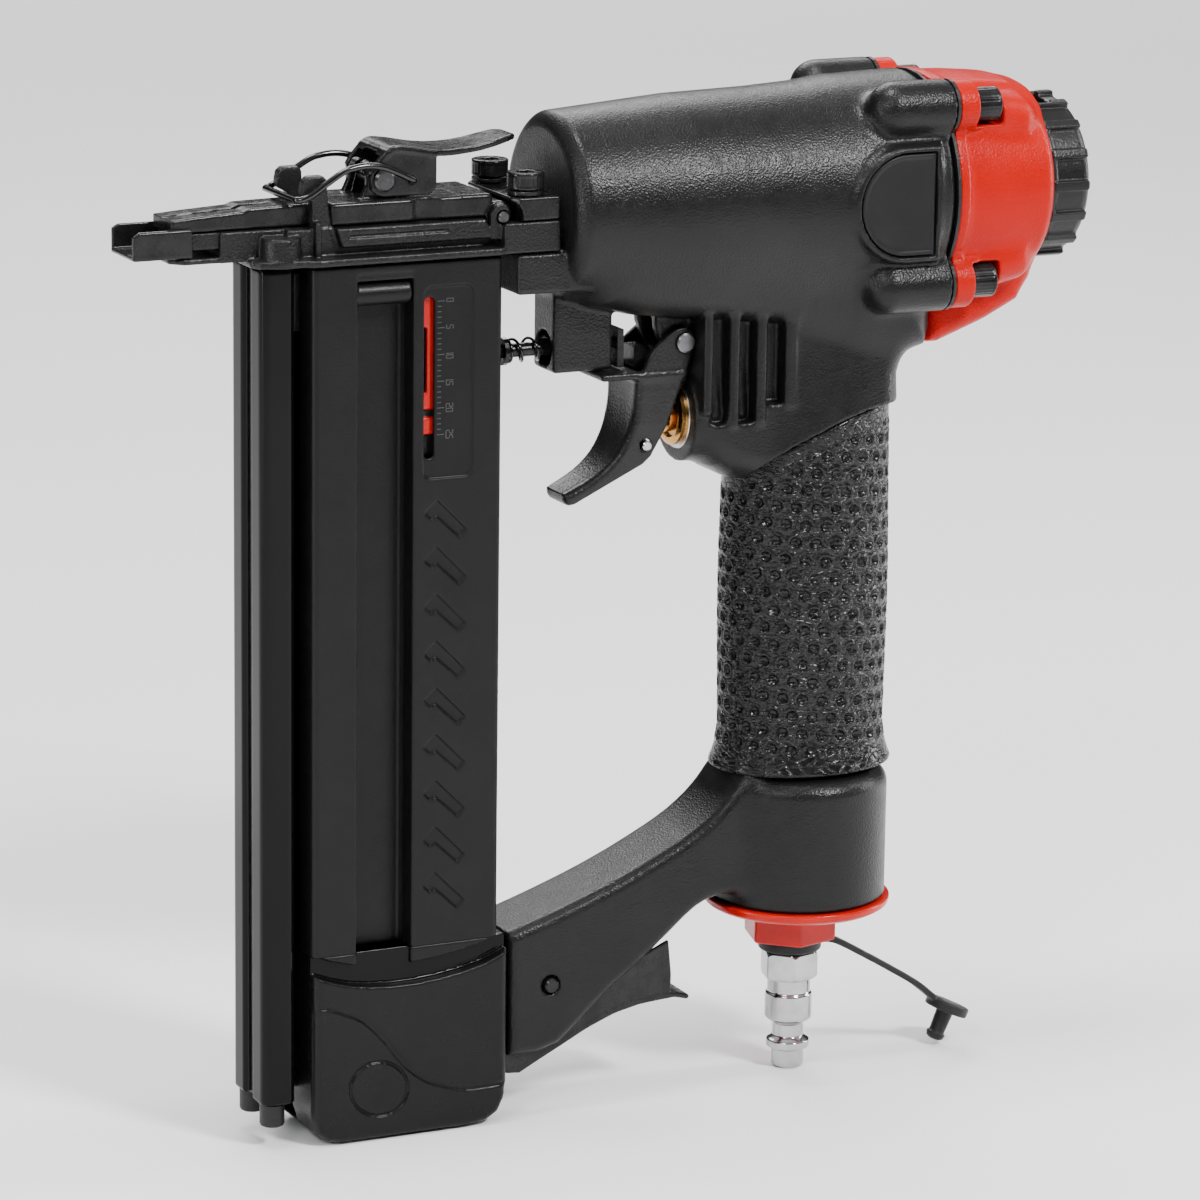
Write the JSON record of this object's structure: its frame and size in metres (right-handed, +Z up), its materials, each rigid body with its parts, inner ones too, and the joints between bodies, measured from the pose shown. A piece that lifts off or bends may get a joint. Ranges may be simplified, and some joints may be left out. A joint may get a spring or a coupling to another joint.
{
  "type": "pneumatic nail gun",
  "caption": "Pneumatic brad nailer with a tool-free nose latch, work contact, trigger, sliding magazine cover, piston and driver, turning exhaust deflector and an air plug.",
  "frame": {"origin": "on the ground, under the middle of the tool's length and width", "axes": "+Z up along the magazine, driver along X firing towards -X, Y across the tool"},
  "size_m": [0.2444, 0.056, 0.2502],
  "materials": {
    "cast_black": "matte textured powder coat",
    "rubber_black": "wrinkled soft-touch",
    "cap_red": "satin fine grain",
    "red_plastic": "glossy",
    "steel_black": "black oxide, satin",
    "cover_black": "satin",
    "gloss_black": "glossy",
    "plastic_black": "fine grain",
    "chrome": "polished",
    "steel": "ground",
    "brass": "turned"
  },
  "bodies": {
    "frame": {"main_housing": "cast_black", "badge_left": "plastic_black", "badge_right": "plastic_black", "rubber_grip": "rubber_black", "rear_cap": "cap_red", "cap_gasket": "rubber_black", "cap_screw_1": "steel_black", "cap_screw_2": "steel_black", "cap_screw_3": "steel_black", "cap_screw_4": "steel_black", "deflector_screw": "steel_black", "cylinder_sleeve": "steel", "bumper": "rubber_black", "head_valve_spring": "steel", "nose_body": "cast_black", "nose_clamp_plate": "steel_black", "door_hinge_pin": "steel", "contact_spring": "steel_black", "nose_screw_left": "steel_black", "nose_screw_right": "steel_black", "nose_washer_left": "steel_black", "nose_washer_right": "steel_black", "trigger_pin": "steel", "valve_bushing": "brass", "valve_spring": "steel", "valve_retainer": "steel", "magazine_rail": "gloss_black", "rail_foot_left": "rubber_black", "rail_foot_right": "rubber_black", "release_latch_pin": "steel_black", "release_latch_spring": "steel", "inlet_cap": "red_plastic", "air_plug": "chrome"},
    "driver": {"piston": "steel", "piston_ring": "rubber_black", "driver_blade": "steel"},
    "head_valve": {"head_valve": "plastic_black"},
    "deflector": {"exhaust_deflector": "plastic_black"},
    "door": {"nose_door": "steel_black", "latch_lever_pin": "steel", "latch_spring": "gloss_black"},
    "lever": {"latch_lever": "gloss_black"},
    "bail": {"latch_bail": "gloss_black"},
    "contact": {"contact_shoe": "steel_black", "contact_link": "steel_black", "contact_rod": "steel_black", "contact_plate": "steel_black", "contact_clip": "steel_black"},
    "trigger": {"trigger": "cast_black", "idler_pin": "steel"},
    "idler": {"trigger_idler": "steel"},
    "stem": {"valve_stem": "brass"},
    "magazine": {"magazine_cover": "cover_black", "magazine_foot_cap": "plastic_black", "pusher_guide_rod": "steel", "pusher_spring": "steel"},
    "pusher": {"pusher": "red_plastic"},
    "release": {"release_latch": "steel_black"},
    "dust_cap": {"dust_cap": "rubber_black"}
  },
  "joints": [
    {"name": "trigger_pull", "type": "hinge", "parent": "frame", "child": "trigger", "pos_m": [0.0173, 0, 0.1884], "axis": [0, -1, 0], "range_deg": [0, 9], "stiffness_Nm_per_rad": 2, "springref_deg": -5.73},
    {"name": "valve_travel", "type": "slide", "parent": "frame", "child": "stem", "axis": [1, 0, 0], "range_m": [0, 0.003], "deforming": ["valve_spring"]},
    {"name": "contact_travel", "type": "slide", "parent": "frame", "child": "contact", "axis": [1, 0, 0], "range_m": [0, 0.006], "stiffness_N_per_m": 300, "springref_m": -0.01, "deforming": ["contact_spring"]},
    {"name": "idler_swing", "type": "hinge", "parent": "trigger", "child": "idler", "pos_m": [0.0077, 0, 0.1639], "axis": [0, 1, 0], "range_deg": [0, 9]},
    {"name": "door_open", "type": "hinge", "parent": "frame", "child": "door", "pos_m": [-0.0321, 0, 0.2222], "axis": [0, 1, 0], "range_deg": [0, 26]},
    {"name": "latch_lever_lift", "type": "hinge", "parent": "door", "child": "lever", "pos_m": [-0.0606, 0, 0.2319], "axis": [0, -1, 0], "range_deg": [0, 100]},
    {"name": "bail_swing", "type": "hinge", "parent": "lever", "child": "bail", "pos_m": [-0.0535, 0, 0.2316], "axis": [0, -1, 0], "range_deg": [-85, 0]},
    {"name": "magazine_slide", "type": "slide", "parent": "frame", "child": "magazine", "axis": [0, 0, -1], "range_m": [0, 0.11]},
    {"name": "pusher_slide", "type": "slide", "parent": "magazine", "child": "pusher", "axis": [0, 0, -1], "range_m": [0, 0.1], "stiffness_N_per_m": 60, "springref_m": -0.05, "deforming": ["pusher_spring"]},
    {"name": "release_press", "type": "hinge", "parent": "frame", "child": "release", "pos_m": [-0.0171, 0, 0.0327], "axis": [0, -1, 0], "range_deg": [0, 12], "stiffness_Nm_per_rad": 1, "springref_deg": -11.46},
    {"name": "deflector_turn", "type": "hinge", "parent": "frame", "child": "deflector", "pos_m": [0.1162, 0, 0.222], "axis": [1, 0, 0], "continuous": true},
    {"name": "dust_cap_swivel", "type": "hinge", "parent": "frame", "child": "dust_cap", "pos_m": [0.0535, 0, 0.032], "axis": [0, 0, 1], "range_deg": [-110, 110]},
    {"name": "piston_stroke", "type": "slide", "parent": "frame", "child": "driver", "axis": [-1, 0, 0], "range_m": [0, 0.0785]},
    {"name": "head_valve_travel", "type": "slide", "parent": "frame", "child": "head_valve", "axis": [1, 0, 0], "range_m": [0, 0.003], "stiffness_N_per_m": 2000, "springref_m": -0.003, "deforming": ["head_valve_spring"]}
  ],
  "couplings": [
    {"joint": "valve_travel", "follows": "trigger_pull", "m_per_rad": 0.0189},
    {"joint": "idler_swing", "follows": "contact_travel", "rad_per_m": 25.8},
    {"joint": "bail_swing", "follows": "latch_lever_lift", "ratio": -0.85}
  ]
}
